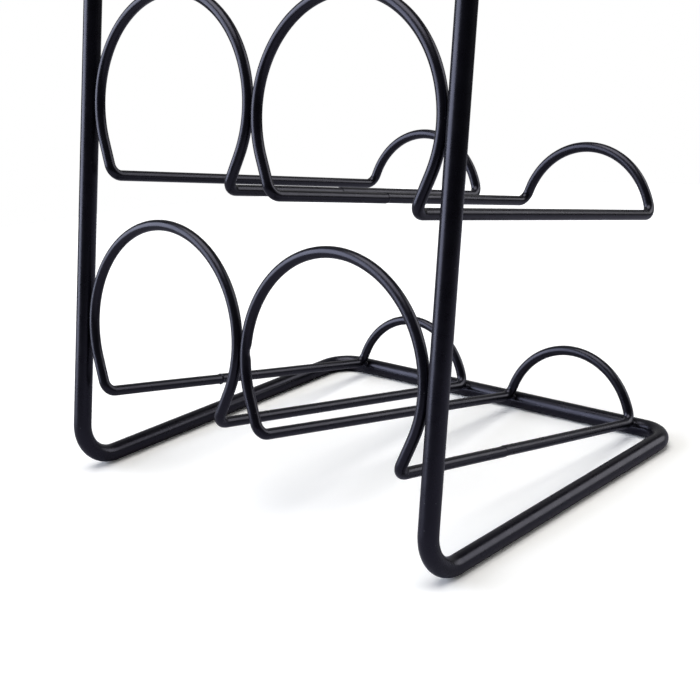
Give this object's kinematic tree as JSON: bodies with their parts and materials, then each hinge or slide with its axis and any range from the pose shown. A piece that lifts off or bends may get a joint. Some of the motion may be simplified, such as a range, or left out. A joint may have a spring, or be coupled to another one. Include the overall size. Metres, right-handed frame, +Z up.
{
  "type": "wine rack",
  "caption": "Table-top wire wine rack: a bent rod frame that leans back carries tiers of bottle holders, each with a front ring, straight rails and a low back arch.",
  "frame": {"origin": "middle of the footprint, on the surface that the rack stands on", "axes": "+X towards the rack's right-hand side as seen from its front, +Y towards the back, where the bottles' bases lie, +Z up"},
  "size_m": [0.208, 0.2146, 0.3316],
  "materials": {
    "powder_coat": "satin near-black powder coat with a slight violet tint"
  },
  "bodies": {
    "root": {"frame_rod": "powder_coat", "holder_lower_left": "powder_coat", "holder_lower_right": "powder_coat", "holder_middle_left": "powder_coat", "holder_middle_right": "powder_coat", "holder_top_left": "powder_coat", "holder_top_right": "powder_coat", "frame_butt_weld": "powder_coat", "rail_butt_weld_lower_left": "powder_coat", "rail_butt_weld_lower_right": "powder_coat", "rail_butt_weld_middle_left": "powder_coat", "rail_butt_weld_middle_right": "powder_coat", "rail_butt_weld_top_left": "powder_coat", "rail_butt_weld_top_right": "powder_coat", "upright_weld_lower_left": "powder_coat", "upright_weld_lower_right": "powder_coat", "upright_weld_middle_left": "powder_coat", "upright_weld_middle_right": "powder_coat", "upright_weld_top_left": "powder_coat", "upright_weld_top_right": "powder_coat", "ring_weld_lower": "powder_coat", "ring_weld_middle": "powder_coat", "ring_weld_top": "powder_coat", "base_weld_left_inner": "powder_coat", "base_weld_left_outer": "powder_coat", "base_weld_right_inner": "powder_coat", "base_weld_right_outer": "powder_coat"}
  },
  "joints": []
}
